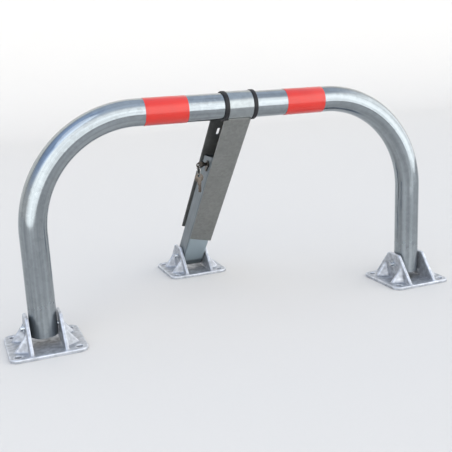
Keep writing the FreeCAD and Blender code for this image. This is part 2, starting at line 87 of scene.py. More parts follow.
def linear(code):
    """An sRGB hex colour as linear red, green, blue and alpha."""
    values = [int(code[i:i + 2], 16) / 255 for i in (1, 3, 5)]
    return tuple(v / 12.92 if v <= 0.04045 else ((v + 0.055) / 1.055) ** 2.4 for v in values) + (1.0,)


def length(name, description, default):
    """A size that a user would change."""
    return FloatProperty(name=name, description=description, default=default, subtype="DISTANCE", unit="LENGTH")


def colour(name, description, code):
    """A colour that a user would change."""
    return FloatVectorProperty(name=name, description=description, default=linear(code), size=4, min=0, max=1,
                               subtype="COLOR")


class BarrierArch(bpy.types.PropertyGroup):
    """Sizes of the arch and of what is fitted on it."""
    tube_diameter: length("Tube diameter", "Outside diameter of the bent tube", ARCH_HIGH.y - ARCH_LOW.y)
    tube_wall: length("Tube wall", "Wall of the bent tube", 2.5 * MM)
    bend_radius: length("Bend radius", "Radius of the two bends, at the centreline", 240 * MM)
    pin_hole: length("Pin hole", "Hole through each leg for its hinge pin", 10.2 * MM)
    ring_round: length("Ring rounding", "Rounding of the rubber stop rings", 2 * MM)
    sides: IntProperty(name="Sides", description="Facets round the tube", default=128, min=32, max=256)
    bend_steps: IntProperty(name="Bend steps", description="Facets along each bend", default=72, min=12, max=200)


class BarrierStrut(bpy.types.PropertyGroup):
    """Sizes of the strut's edges and welds."""
    cut_edge: length("Cut edge", "Rounding of sawn and punched sheet edges", 0.35 * MM)
    bead_drop: length("Weld drop", "Collar's middle down to the welds on the flanges", 12.8 * MM)
    bead_offset: length("Weld offset", "Strut's axis to the welds on the flanges", 31.1 * MM)
    bead_width: length("Weld width", "Width of the weld beads", 3.4 * MM)
    bead_pitch: length("Weld pitch", "Spacing of the ripples on a bead", 2.2 * MM)


class BarrierFeet(bpy.types.PropertyGroup):
    """Sizes that make the castings and their hinge pins."""
    grain: length("Casting detail", "Spacing of the points of a casting", 1.5 * MM)
    softening: IntProperty(name="Softening", description="Rounds of smoothing of a casting", default=7, min=0, max=30)
    pin_diameter: length("Pin diameter", "Diameter of the hinge pins", 10 * MM)
    pin_head: length("Pin head", "Height of a hinge pin's head", 3.5 * MM)
    pin_tail: length("Pin tail", "End of a hinge pin beyond its washer", 8 * MM)
    washer: length("Washer", "Thickness of the washers", 1.6 * MM)
    split_wire: length("Split pin wire", "Wire of the split pins", 1.5 * MM)
    split_length: length("Split pin length", "Straight part of a split pin", 20 * MM)
    split_eye: length("Split pin eye", "Middle diameter of a split pin's eye", 6 * MM)


class BarrierLock(bpy.types.PropertyGroup):
    """Sizes of the keys and their ring."""
    key_thickness: length("Key thickness", "Thickness of the flat keys", 2.3 * MM)
    bow_diameter: length("Bow diameter", "Diameter of a key's bow", 22 * MM)
    bow_hole: length("Bow hole", "Hole for the ring", 7.5 * MM)
    bow_hole_offset: length("Bow hole offset", "Middle of the bow to the hole", 5.5 * MM)
    ring_radius: length("Ring radius", "Middle radius of the key ring", 12 * MM)
    ring_wire: length("Ring wire", "Wire of the two-turn key ring", 0.9 * MM)


class BarrierFinish(bpy.types.PropertyGroup):
    """Colours of the finishes."""
    zinc: colour("Bright zinc", "Arch", "#969DA1")
    sheet: colour("Dull zinc", "Channel of the strut", "#7A7C7A")
    sleeve: colour("Worn zinc", "Collar of the strut", "#979D9F")
    passivated: colour("Passivated zinc", "Inner tube of the strut", "#636C70")
    aluminium: colour("Cast aluminium", "Feet", "#BFC3C9")
    plated: colour("Zinc plating", "Pins and small steel pieces", "#C2C7CB")
    rubber: colour("Rubber", "Stop rings", "#19191C")
    tape: colour("Red tape", "Reflective bands", "#BA1D0F")
    nickel: colour("Nickel on brass", "Lock and keys", "#5F5953")
    steel: colour("Spring steel", "Key ring", "#C9C9C5")
    floor: colour("Floor", "Studio floor", "#D2CFCA")


class BarrierStage(bpy.types.PropertyGroup):
    """Camera and light."""
    camera_place: FloatVectorProperty(name="Camera", description="Place of the camera",
                                      default=(-0.62864, -1.68375, 0.59547), subtype="XYZ", unit="LENGTH")
    camera_yaw: FloatProperty(name="Yaw", description="Turn of the view to the right", default=0.37777,
                              subtype="ANGLE", unit="ROTATION")
    camera_pitch: FloatProperty(name="Pitch", description="Tilt of the view down", default=0.23457,
                                subtype="ANGLE", unit="ROTATION")
    camera_roll: FloatProperty(name="Roll", description="Roll of the view", default=0.04548,
                               subtype="ANGLE", unit="ROTATION")
    lens: FloatProperty(name="Lens", description="Focal length on a 36 mm sensor", default=55.872,
                        subtype="DISTANCE_CAMERA", unit="CAMERA")
    sky: FloatProperty(name="Sky", description="Brightness of the studio dome", default=0.8, min=0)
    overhead: FloatProperty(name="Overhead", description="Extra brightness overhead", default=0.45, min=0)
    front_glow: FloatProperty(name="Front glow", description="Extra brightness low in front", default=1.7, min=0)


def add(tree, kind, inputs=None, **settings):
    """Add a node with its settings, and set its inputs or link them; another node stands for its first output."""
    node = tree.nodes.new(kind)
    for name, value in settings.items():
        setattr(node, name, value)
    for key, source in (inputs or {}).items():
        for one in source if isinstance(source, list) else [source]:
            one = one.outputs[0] if isinstance(one, bpy.types.Node) else one
            if isinstance(one, bpy.types.NodeSocket):
                tree.links.new(one, node.inputs[key])
            else:
                node.inputs[key].default_value = one
    return node


def spread(start, end, count):
    """Evenly spaced values from a start to an end, with both of them."""
    return [start + (end - start) * k / count for k in range(count + 1)]


def strut_place(pivot):
    """The matrix that leans a piece drawn upright at the origin along the strut, from a pivot."""
    return Matrix.Translation(pivot) @ Matrix.Rotation(LEAN, 4, "X")


def new_piece(name, points, faces=(), edges=()):
    """A mesh object in its place, with doubles merged and its faces pointing outwards."""
    mesh = bpy.data.meshes.new(name)
    mesh.from_pydata([tuple(p) for p in points], list(edges), list(faces))
    if faces:
        shell = bmesh.new()
        shell.from_mesh(mesh)
        bmesh.ops.remove_doubles(shell, verts=shell.verts, dist=POINT_GAP)
        bmesh.ops.recalc_face_normals(shell, faces=shell.faces)
        shell.to_mesh(mesh)
        shell.free()
    piece = bpy.data.objects.new(name, mesh)
    bpy.context.scene.collection.objects.link(piece)
    return piece


def mesh_piece(name, mesh):
    """A piece with the points and faces of a mesh."""
    return new_piece(name, [v.co for v in mesh.vertices], [tuple(p.vertices) for p in mesh.polygons])


def bake(piece):
    """Turn a piece's modifiers into its plain mesh."""
    depsgraph = bpy.context.evaluated_depsgraph_get()
    mesh = bpy.data.meshes.new_from_object(piece.evaluated_get(depsgraph), depsgraph=depsgraph)
    if not mesh.polygons:
        raise RuntimeError(piece.name + " came out empty")
    piece.modifiers.clear()
    piece.data = mesh
    mesh.name = piece.name
    return piece


def smooth(piece, degrees=35):
    """Shade a piece smooth, with edges sharper than an angle kept."""
    piece.data.shade_smooth()
    piece.data.set_sharp_from_angle(angle=math.radians(degrees))
    return piece


def settle(piece, look, carrier, *nodes):
    """Give a piece its finish and the body of the node that carries it, and hide the nodes it replaces."""
    piece.data.materials.clear()
    piece.data.materials.append(finish(look))
    bodies = frame["record"]["behaviour"]["bodies"]
    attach(piece, next(body for body, members in bodies.items() if carrier in members))
    if nodes:
        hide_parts(*nodes)
    return piece


def rounded(corners, steps=4):
    """Points of a section whose corners, given as (x, radius, rounding), are rounded."""
    points = []
    for i, (x, radius, rounding) in enumerate(corners):
        here = Vector((x, radius))
        if not rounding:
            points.append(here)
            continue
        before = (Vector(corners[i - 1][:2]) - here).normalized()
        after = (Vector(corners[(i + 1) % len(corners)][:2]) - here).normalized()
        half = before.angle(after) / 2
        centre = here + (before + after).normalized() * rounding / math.sin(half)
        start = here + before * rounding / math.tan(half) - centre
        sweep = start.angle_signed(here + after * rounding / math.tan(half) - centre)
        points += [centre + Matrix.Rotation(turn, 2) @ start for turn in spread(0.0, -sweep, steps)]
    return points


def lathe(name, section, centre, closed=True, sides=128):
    """Turn a section of (x, radius) points about the X axis through a centre, and keep the tube's own axes."""
    count = len(section)
    points, faces = [], []
    for k in range(sides):
        turn = math.tau * k / sides
        points += [(x, centre.y + radius * math.cos(turn), centre.z + radius * math.sin(turn))
                   for x, radius in section]
        for i in range(count if closed else count - 1):
            here, there, j = k * count, (k + 1) % sides * count, (i + 1) % count
            faces.append((here + i, here + j, there + j, there + i))
    piece = new_piece(name, points, faces)
    unrolled = piece.data.attributes.new("unrolled", "FLOAT_VECTOR", "POINT")
    for vertex, value in zip(piece.data.vertices, unrolled.data):
        value.vector = vertex.co - Vector((0, centre.y, centre.z))
    return smooth(piece)


def hoop(name, ends, radii, centre, roundings, steps=4, sides=128):
    """A ring about the X axis, between two ends and two radii, with its inner and outer edges rounded."""
    (start, end), (inner, outer), (inside, outside) = ends, radii, roundings
    corners = [(start, inner, inside), (start, outer, outside), (end, outer, outside), (end, inner, inside)]
    return lathe(name, rounded(corners, steps), centre, sides=sides)


def cad_copy(node, look, edge, name=None):
    """Show a CAD node as a copy with its flat faces joined and its sharp edges rounded, in a finish."""
    piece = mesh_piece(name or node + "_dressed", frame["nodes"][node].data)
    shell = bmesh.new()
    shell.from_mesh(piece.data)
    bmesh.ops.remove_doubles(shell, verts=shell.verts, dist=CAD_POINT_GAP)
    bmesh.ops.dissolve_limit(shell, angle_limit=FLAT_ANGLE, verts=shell.verts, edges=shell.edges)
    shell.to_mesh(piece.data)
    shell.free()
    smooth(piece, SHARP_DEGREES)
    bevel = piece.modifiers.new("Edges", "BEVEL")
    bevel.width = edge
    bevel.segments = 2
    bevel.limit_method = "ANGLE"
    bevel.angle_limit = math.radians(SHARP_DEGREES)
    even = piece.modifiers.new("Flats", "WEIGHTED_NORMAL")
    even.keep_sharp = True
    return settle(bake(piece), look, node, node)


def new_tree(name, inputs):
    """A Geometry Nodes tree with named inputs and a material, and the outputs of its input node."""
    tree = bpy.data.node_groups.new(name, "GeometryNodeTree")
    for label, kind in {"Geometry": "Geometry", **inputs, "Material": "Material"}.items():
        tree.interface.new_socket(label, in_out="INPUT", socket_type="NodeSocket" + kind)
    tree.interface.new_socket("Geometry", in_out="OUTPUT", socket_type="NodeSocketGeometry")
    return tree, add(tree, "NodeGroupInput").outputs


def end_tree(tree, geometry, material):
    """Close a tree: real geometry in one material."""
    real = add(tree, "GeometryNodeRealizeInstances", {"Geometry": geometry})
    named = add(tree, "GeometryNodeSetMaterial", {"Geometry": real, "Material": material})
    add(tree, "NodeGroupOutput", {0: named})
    return tree


def grow(piece, tree, look, values):
    """Run a Geometry Nodes tree on a piece, in a finish, and keep the result as its plain mesh."""
    modifier = piece.modifiers.new(tree.name, "NODES")
    modifier.node_group = tree
    values = {**values, "Material": finish(look)}
    for item in tree.interface.items_tree:
        if item.in_out == "INPUT" and item.name in values:
            modifier[item.identifier] = values[item.name]
    return bake(piece)


def bent_tube_tree():
    """Round a line's corners, sweep a tube along it, bore it and drill it across for the hinge pins.

    The length along the tube and the place round it are kept on its points, so that a finish can follow it.
    """
    tree, given = new_tree("Bent tube", {
        "Bend Radius": "Float", "Bend Steps": "Int", "Sides": "Int", "Outer Radius": "Float",
        "Inner Radius": "Float", "Hole Radius": "Float", "Hole Centre": "Vector", "Hole Length": "Float"})
    line = add(tree, "GeometryNodeMeshToCurve", {"Mesh": given["Geometry"]})
    path = add(tree, "GeometryNodeFilletCurve", {
        "Curve": line, "Count": given["Bend Steps"], "Radius": given["Bend Radius"]}, mode="POLY")
    outside, inside = [add(tree, "GeometryNodeCurvePrimitiveCircle", {
        "Resolution": given["Sides"], "Radius": given[name]}, mode="RADIUS")
        for name in ("Outer Radius", "Inner Radius")]
    run = add(tree, "GeometryNodeSplineParameter")
    kept = add(tree, "GeometryNodeCaptureAttribute", {"Geometry": path})
    kept.capture_items.new("FLOAT", "Along")
    tree.links.new(run.outputs["Length"], kept.inputs["Along"])
    place = add(tree, "GeometryNodeInputPosition")
    section = add(tree, "GeometryNodeCaptureAttribute", {"Geometry": outside})
    section.capture_items.new("VECTOR", "Around")
    tree.links.new(place.outputs[0], section.inputs["Around"])
    skin = add(tree, "GeometryNodeCurveToMesh", {"Curve": kept, "Profile Curve": section, "Fill Caps": True})
    around = add(tree, "ShaderNodeSeparateXYZ", {0: section.outputs["Around"]})
    straight = add(tree, "ShaderNodeCombineXYZ", {
        "X": kept.outputs["Along"], "Y": around.outputs["X"], "Z": around.outputs["Y"]})
    named = add(tree, "GeometryNodeStoreNamedAttribute", {
        "Geometry": skin, "Name": "unrolled", "Value": straight}, data_type="FLOAT_VECTOR", domain="POINT")
    ends = add(tree, "GeometryNodeCurveEndpointSelection", {"Start Size": 1, "End Size": 1})
    longer = add(tree, "GeometryNodeSetPosition", {
        "Geometry": path, "Selection": ends, "Offset": (0, 0, -BORE_EXCESS)})
    bore = add(tree, "GeometryNodeCurveToMesh", {"Curve": longer, "Profile Curve": inside, "Fill Caps": True})
    rod = add(tree, "GeometryNodeMeshCylinder", {
        "Vertices": 48, "Radius": given["Hole Radius"], "Depth": given["Hole Length"]})
    drill = add(tree, "GeometryNodeTransform", {
        "Geometry": rod, "Translation": given["Hole Centre"], "Rotation": (0, math.pi / 2, 0)})
    tube = add(tree, "GeometryNodeMeshBoolean", {
        "Mesh 1": named, "Mesh 2": [bore, drill]}, operation="DIFFERENCE", solver="EXACT")
    return end_tree(tree, tube, given["Material"])


def swept_wire_tree():
    """Sweep a round wire along a line, with ripples along it where a weld needs them."""
    tree, given = new_tree("Swept wire", {
        "Wire Radius": "Float", "Step": "Float", "Sides": "Int", "Ripple Depth": "Float", "Ripple Pitch": "Float"})
    line = add(tree, "GeometryNodeMeshToCurve", {"Mesh": given["Geometry"]})
    path = add(tree, "GeometryNodeResampleCurve", {"Curve": line, "Length": given["Step"]}, mode="LENGTH")
    run = add(tree, "GeometryNodeSplineParameter")
    waves = add(tree, "ShaderNodeMath", {0: run.outputs["Length"], 1: given["Ripple Pitch"]}, operation="DIVIDE")
    turn = add(tree, "ShaderNodeMath", {0: waves, 1: math.tau}, operation="MULTIPLY")
    wave = add(tree, "ShaderNodeMath", {0: turn}, operation="SINE")
    swell = add(tree, "ShaderNodeMath", {0: wave, 1: given["Ripple Depth"], 2: 1.0}, operation="MULTIPLY_ADD")
    circle = add(tree, "GeometryNodeCurvePrimitiveCircle", {
        "Resolution": given["Sides"], "Radius": given["Wire Radius"]}, mode="RADIUS")
    wire = add(tree, "GeometryNodeCurveToMesh", {
        "Curve": path, "Profile Curve": circle, "Fill Caps": True, "Scale": swell})
    return end_tree(tree, wire, given["Material"])


def swept_wire(name, lines, look, radius, step, ripple=0.0, pitch=1.0, sides=16):
    """A wire or bead along lines of points."""
    points, edges = [], []
    for line in lines:
        edges += [(len(points) + i, len(points) + i + 1) for i in range(len(line) - 1)]
        points += line
    tree = bpy.data.node_groups.get("Swept wire") or swept_wire_tree()
    piece = grow(new_piece(name, points, edges=edges), tree, look, {
        "Wire Radius": radius, "Step": step, "Sides": sides, "Ripple Depth": ripple, "Ripple Pitch": pitch})
    return smooth(piece, 50)


def begin(name, unrolled=False):
    """A new node material, its tree, and coordinates in the frame's axes or unrolled along the tube."""
    material = bpy.data.materials.new(name)
    material.use_nodes = True
    tree = material.node_tree
    if unrolled:
        return material, tree, add(tree, "ShaderNodeAttribute", attribute_name="unrolled").outputs["Vector"]
    return material, tree, add(tree, "ShaderNodeTexCoord").outputs["Object"]


def shades(rgba, low, high):
    """A darker and a lighter shade of a colour."""
    return [tuple(min(1.0, v * factor) for v in rgba[:3]) + (1.0,) for factor in (low, high)]


def dress(tree, tone, span, pair, rough, fixed, rough_by=None, rough_span=(0.0, 1.0), relief=()):
    """Link a material's patterns to its shader, and return the outputs that give its colour and its roughness.

    The tone, over its span, runs through a pair of shades. The roughness runs between two values with the tone,
    or with a pattern of its own over that one's span. Relief lists patterns that stand out of the surface and how
    far they do, the coarse ones first. Fixed values go on the sockets that they name.
    """
    shader = tree.nodes["Principled BSDF"]
    share = add(tree, "ShaderNodeMapRange", {"Value": tone, "From Min": span[0], "From Max": span[1]})
    paint = add(tree, "ShaderNodeMix", {0: share, 6: pair[0], 7: pair[1]}, data_type="RGBA").outputs[2]
    gloss = add(tree, "ShaderNodeMapRange", {
        "Value": rough_by or share, "From Min": rough_span[0], "From Max": rough_span[1],
        "To Min": rough[0], "To Max": rough[1]}).outputs[0]
    tree.links.new(paint, shader.inputs["Base Color"])
    tree.links.new(gloss, shader.inputs["Roughness"])
    under = {}
    for height, depth in relief:
        bump = add(tree, "ShaderNodeBump", {"Height": height, "Strength": 1.0, "Distance": depth, **under})
        under = {"Normal": bump}
        tree.links.new(bump.outputs[0], shader.inputs["Normal"])
    for socket, value in fixed.items():
        shader.inputs[socket].default_value = value
    return paint, gloss


def galvanised_tube(colours):
    """Hot-dip galvanised tube: a smooth zinc skin that mirrors the room in bands along the tube.

    The zinc drained along the tube in streaks about 9 mm wide, which darken and bend the bands a little, and its
    crystals, about 9 mm across, show as faint changes of tone. Dirt dulls the legs near the ground.
    """
    material, tree, along = begin("Hot-dip galvanised tube", unrolled=True)
    crystals = add(tree, "ShaderNodeTexVoronoi", {"Vector": along, "Scale": 1 / (9 * MM)})
    tone = add(tree, "ShaderNodeSeparateColor", {0: crystals.outputs["Color"]})
    drained = add(tree, "ShaderNodeMapping", {
        "Vector": along, "Scale": (1 / (400 * MM), 1 / (9 * MM), 1 / (9 * MM))})
    streaks = add(tree, "ShaderNodeTexNoise", {"Vector": drained, "Scale": 1.0, "Detail": 2.0})
    mixed = add(tree, "ShaderNodeMath", {0: tone, 1: 0.12, 2: streaks}, operation="MULTIPLY_ADD")
    _, gloss = dress(tree, mixed, (0.36, 0.72), shades(colours.zinc, 0.78, 1.14), (0.08, 0.14),
                     {"Metallic": 1.0}, relief=[(streaks, 0.12 * MM)])
    spot = add(tree, "ShaderNodeSeparateXYZ", {0: add(tree, "ShaderNodeTexCoord").outputs["Object"]})
    dirt = add(tree, "ShaderNodeMapRange", {
        "Value": spot.outputs["Z"], "From Min": 60 * MM, "From Max": 160 * MM, "To Min": 0.26, "To Max": 0.0})
    dulled = add(tree, "ShaderNodeMath", {0: gloss, 1: dirt}, operation="ADD")
    tree.links.new(dulled.outputs[0], tree.nodes["Principled BSDF"].inputs["Roughness"])
    return material


def galvanised_sheet(colours):
    """Folded sheet steel, galvanised and dulled: a matt, even grey, half bare zinc and half chalky oxide."""
    material, tree, place = begin("Dull galvanised sheet")
    crystals = add(tree, "ShaderNodeTexVoronoi", {"Vector": place, "Scale": 1 / (6 * MM)})
    tone = add(tree, "ShaderNodeSeparateColor", {0: crystals.outputs["Color"]})
    patches = add(tree, "ShaderNodeTexNoise", {"Vector": place, "Scale": 1 / (60 * MM), "Detail": 6.0})
    mixed = add(tree, "ShaderNodeMath", {0: tone, 1: 0.3, 2: patches}, operation="MULTIPLY_ADD")
    grain = add(tree, "ShaderNodeTexNoise", {"Vector": place, "Scale": 1 / (2.2 * MM), "Detail": 4.0})
    dress(tree, mixed, (0.35, 0.95), shades(colours.sheet, 0.82, 1.14), (0.36, 0.52), {"Metallic": 0.6},
          patches, (0.3, 0.7), [(grain, 0.05 * MM)])
    return material


def worn_sleeve(colours):
    """Short galvanised sleeve, worn smooth by turning: one bright band on top and a dull grey below it."""
    material, tree, place = begin("Worn galvanised sleeve")
    wear = add(tree, "ShaderNodeTexNoise", {"Vector": place, "Scale": 1 / (14 * MM), "Detail": 5.0})
    dress(tree, wear, (0.35, 0.65), shades(colours.sleeve, 0.93, 1.08), (0.2, 0.14),
          {"Metallic": 1.0}, relief=[(wear, 0.02 * MM)])
    return material


def passivated_zinc(colours):
    """Welded rectangular tube with passivated zinc: dull blue-grey, its front face painted pale as painted light.

    The painted light starts just above the hinge pin; the rounded end below the pin keeps the plain dull colour.
    """
    material, tree, place = begin("Passivated zinc tube")
    turned = add(tree, "ShaderNodeMapping", {"Vector": place, "Rotation": (-LEAN, 0, 0)})
    patches = add(tree, "ShaderNodeTexNoise", {"Vector": place, "Scale": 1 / (45 * MM), "Detail": 6.0})
    # scuffs run along the strut, 2 mm apart and 60 mm long
    drawn = add(tree, "ShaderNodeMapping", {
        "Vector": turned, "Scale": (1 / (2 * MM), 1 / (2 * MM), 1 / (60 * MM))})
    scuffs = add(tree, "ShaderNodeTexNoise", {"Vector": drawn, "Scale": 1.0, "Detail": 3.0})
    paint, _ = dress(tree, patches, (0.3, 0.7), shades(colours.passivated, 0.85, 1.18), (0.28, 0.46),
                     {"Metallic": 0.4}, scuffs, (0.3, 0.7), [(scuffs, 0.02 * MM)])
    # painted light: from just above the hinge pin, the front face is painted up to 2.7 times paler than the dull
    # colour
    middle = Matrix.Rotation(-LEAN, 3, "X") @ REAR_PIVOT
    depth = add(tree, "ShaderNodeSeparateXYZ", {0: turned})
    front = add(tree, "ShaderNodeMapRange", {
        "Value": depth.outputs["Y"], "From Min": middle.y - 25 * MM, "From Max": middle.y - 22 * MM,
        "To Min": 1.0, "To Max": 0.0})
    above = add(tree, "ShaderNodeMapRange", {
        "Value": depth.outputs["Z"], "From Min": middle.z + 1 * MM, "From Max": middle.z + 9 * MM})
    share = add(tree, "ShaderNodeMath", {0: front, 1: above}, operation="MULTIPLY")
    _, pale = shades(colours.passivated, 1.0, 2.7)
    wear_and_painted_light = add(tree, "ShaderNodeMix", {0: share, 6: paint, 7: pale}, data_type="RGBA")
    tree.links.new(wear_and_painted_light.outputs[2], tree.nodes["Principled BSDF"].inputs["Base Color"])
    return material


def cast_aluminium(colours):
    """Sand-cast aluminium: pale, matt and mottled with a sandy grain, brighter where edges and ribs are worn by
    rubbing.
    """
    material, tree, place = begin("Sand-cast aluminium")
    stain = add(tree, "ShaderNodeTexNoise", {"Vector": place, "Scale": 1 / (11 * MM), "Detail": 6.0})
    wear_and_painted_light = add(tree, "ShaderNodeAttribute", attribute_name="wear_and_painted_light")
    mixed = add(tree, "ShaderNodeMath", {0: wear_and_painted_light.outputs["Fac"], 1: 0.7, 2: stain}, operation="MULTIPLY_ADD")
    # sand grain of about 0.5 mm, drawn at 1.6 mm so that it shows
    sand = add(tree, "ShaderNodeTexNoise", {"Vector": place, "Scale": 1 / (1.6 * MM), "Detail": 4.0})
    lumps = add(tree, "ShaderNodeTexNoise", {"Vector": place, "Scale": 1 / (9 * MM), "Detail": 2.0})
    dress(tree, mixed, (0.34, 0.92), shades(colours.aluminium, 0.56, 1.2), (0.52, 0.3), {"Metallic": 0.6},
          mixed, (0.3, 1.1), [(lumps, 0.35 * MM), (sand, 0.12 * MM)])
    return material


def plated_steel(colours):
    """Turned steel with bright zinc plating: clean and half gloss, with small dull spots."""
    material, tree, place = begin("Zinc-plated steel")
    spots = add(tree, "ShaderNodeTexNoise", {"Vector": place, "Scale": 1 / (5 * MM), "Detail": 5.0})
    dress(tree, spots, (0.35, 0.65), shades(colours.plated, 0.8, 1.1), (0.38, 0.24),
          {"Metallic": 1.0}, relief=[(spots, 0.02 * MM)])
    return material


def black_rubber(colours):
    """Moulded rubber: deep black with a dusty bloom and a fine moulded grain that keeps highlights soft."""
    material, tree, place = begin("Black rubber")
    dust = add(tree, "ShaderNodeTexNoise", {"Vector": place, "Scale": 1 / (6 * MM), "Detail": 5.0})
    grain = add(tree, "ShaderNodeTexNoise", {"Vector": place, "Scale": 1 / (0.9 * MM), "Detail": 3.0})
    dress(tree, dust, (0.4, 0.75), shades(colours.rubber, 0.8, 1.6), (0.42, 0.62),
          {"Specular IOR Level": 0.3}, relief=[(grain, 0.05 * MM)])
    return material


def red_tape(colours):
    """Retroreflective film: saturated red under a glossy clear face, with diamond seals and slight ripples."""
    material, tree, along = begin("Red retroreflective tape", unrolled=True)
    parts = add(tree, "ShaderNodeSeparateXYZ", {0: along})
    angle = add(tree, "ShaderNodeMath", {0: parts.outputs["Z"], 1: parts.outputs["Y"]}, operation="ARCTAN2")
    # seals are about 3.5 mm apart on such film, and are drawn 5 mm apart, 38 round the tube, so that they show
    across = add(tree, "ShaderNodeMath", {0: angle, 1: 38 / 2}, operation="MULTIPLY")
    down = add(tree, "ShaderNodeMath", {0: parts.outputs["X"], 1: math.pi / (5 * MM)}, operation="MULTIPLY")
    seams = []
    for operation in ("ADD", "SUBTRACT"):
        slant = add(tree, "ShaderNodeMath", {0: down, 1: across}, operation=operation)
        wave = add(tree, "ShaderNodeMath", {0: slant}, operation="SINE")
        seams.append(add(tree, "ShaderNodeMath", {0: wave}, operation="ABSOLUTE"))
    lattice = add(tree, "ShaderNodeMath", {0: seams[0], 1: seams[1]}, operation="MINIMUM")
    fade = add(tree, "ShaderNodeTexNoise", {"Vector": along, "Scale": 1 / (30 * MM), "Detail": 4.0})
    mixed = add(tree, "ShaderNodeMath", {0: lattice, 1: 0.5, 2: fade}, operation="MULTIPLY_ADD")
    dress(tree, mixed, (0.35, 0.8), shades(colours.tape, 0.8, 1.06), (0.3, 0.42),
          {"Coat Weight": 0.7, "Coat Roughness": 0.15, "Specular IOR Level": 0.35},
          fade, (0.3, 0.7), [(mixed, 0.03 * MM)])
    return material


def nickel_brass(colours):
    """Nickel-plated brass worn by pockets: warm grey and finely scratched, paler in worn patches."""
    material, tree, place = begin("Nickel-plated brass")
    wear = add(tree, "ShaderNodeTexNoise", {"Vector": place, "Scale": 1 / (4 * MM), "Detail": 6.0})
    scratches = add(tree, "ShaderNodeTexNoise", {"Vector": place, "Scale": 1 / (0.7 * MM), "Detail": 3.0})
    dress(tree, wear, (0.42, 0.66), shades(colours.nickel, 0.85, 1.1), (0.22, 0.38),
          {"Metallic": 1.0}, scratches, (0.3, 0.7), [(scratches, 0.015 * MM)])
    return material


def spring_steel(colours):
    """Bright spring wire: polished by drawing, with faint dull patches."""
    material, tree, place = begin("Bright spring steel")
    dull = add(tree, "ShaderNodeTexNoise", {"Vector": place, "Scale": 1 / (3 * MM), "Detail": 4.0})
    dress(tree, dull, (0.35, 0.65), shades(colours.steel, 0.75, 1.1), (0.3, 0.16), {"Metallic": 1.0})
    return material


def studio_floor(colours):
    """Painted studio floor: matt and pale, with a barely visible roller texture."""
    material, tree, place = begin("Matt studio floor")
    roller = add(tree, "ShaderNodeTexNoise", {"Vector": place, "Scale": 1 / (8 * MM), "Detail": 3.0})
    dark, light = shades(colours.floor, 0.99, 1.01)
    paint = add(tree, "ShaderNodeMix", {0: roller, 6: dark, 7: light}, data_type="RGBA")
    shader = tree.nodes["Principled BSDF"]
    tree.links.new(paint.outputs[2], shader.inputs["Base Color"])
    shader.inputs["Roughness"].default_value = 0.95
    shader.inputs["Specular IOR Level"].default_value = 0.1
    return material


FINISHES = {function.__name__: function for function in (
    galvanised_tube, galvanised_sheet, worn_sleeve, passivated_zinc, cast_aluminium, plated_steel, black_rubber,
    red_tape, nickel_brass, spring_steel, studio_floor)}
MADE = {}


def finish(name):
    """A finish by name, made once."""
    if name not in MADE:
        MADE[name] = FINISHES[name](bpy.context.scene.barrier_finish)
    return MADE[name]


class BARRIER_OT_arch_tube(bpy.types.Operator):
    """Bend the arch from one length of tube"""
    bl_idname = "barrier.arch_tube"
    bl_label = "Arch tube"

    def execute(self, context):
        sizes = context.scene.barrier_arch
        radius = sizes.tube_diameter / 2
        half, low, high = ARCH_HIGH.x - radius, ARCH_LOW.z, ARCH_HIGH.z - radius
        y, pivot = COLLAR_CENTRE.y, JOINT_POINTS["arch_fold"].z
        line = [(-half, y, low), (-half, y, high), (half, y, high), (half, y, low)]
        tube = new_piece("arch", line, edges=[(0, 1), (1, 2), (2, 3)])
        grow(tube, bent_tube_tree(), "galvanised_tube", {
            "Bend Radius": sizes.bend_radius, "Bend Steps": sizes.bend_steps, "Sides": sizes.sides,
            "Outer Radius": radius, "Inner Radius": radius - sizes.tube_wall, "Hole Radius": sizes.pin_hole / 2,
            "Hole Centre": (0, y, pivot), "Hole Length": 2 * half + 4 * radius})
        settle(smooth(tube), "galvanised_tube", "arch_tube", "arch_tube")
        return {"FINISHED"}


class BARRIER_OT_arch_fittings(bpy.types.Operator):
    """Wrap the reflective bands and press on the rubber stop rings"""
    bl_idname = "barrier.arch_fittings"
    bl_label = "Bands and stop rings"

    def execute(self, context):
        sizes = context.scene.barrier_arch
        radius = sizes.tube_diameter / 2
        for side in ("left", "right"):
            for node, name, look, inner, rounding, steps in (
                    ("reflective_band_", "band_", "red_tape", radius + TAPE_GLUE, TAPE_EDGE, 4),
                    ("stop_ring_", "rubber_ring_", "black_rubber", radius, sizes.ring_round, 6)):
                node += side
                low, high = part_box(node)
                piece = hoop(name + side, (low.x, high.x), (inner, (high.z - low.z) / 2), COLLAR_CENTRE,
                             (0, rounding), steps)
                settle(piece, look, node, node)
        return {"FINISHED"}


